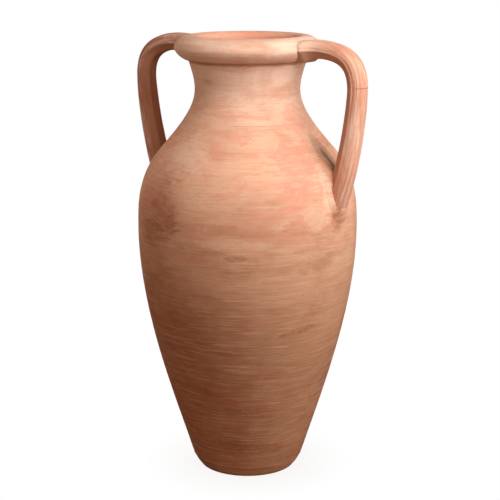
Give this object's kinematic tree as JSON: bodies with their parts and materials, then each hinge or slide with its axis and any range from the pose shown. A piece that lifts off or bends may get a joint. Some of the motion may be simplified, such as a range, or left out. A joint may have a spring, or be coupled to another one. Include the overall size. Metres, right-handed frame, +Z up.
{
  "type": "amphora",
  "caption": "Tall unglazed terracotta amphora with a swelling shoulder, waisted neck, rolled rim and a pair of strap handles from rim to shoulder.",
  "frame": {"origin": "on the vessel's axis, at the level that it stands on", "axes": "+Z up along the vessel's axis, from the foot to the mouth; +X through the right handle, -X through the left handle"},
  "size_m": [0.492, 0.4, 0.8],
  "materials": {
    "body_clay": "unglazed terracotta, fine turning lines, pale bloom and red-brown patches",
    "handle_clay": "unglazed terracotta, fluted along the strap, smoothed by hand",
    "luting_clay": "unglazed terracotta, pressed and smeared by hand"
  },
  "bodies": {
    "root": {"floor_slab": "body_clay", "lower_body": "body_clay", "upper_body": "body_clay", "neck": "body_clay", "rim": "body_clay", "belly_seam_coil": "luting_clay", "neck_seam_coil": "luting_clay", "handle_left": "handle_clay", "handle_right": "handle_clay", "root_pad_left": "luting_clay", "root_pad_right": "luting_clay"}
  },
  "joints": []
}
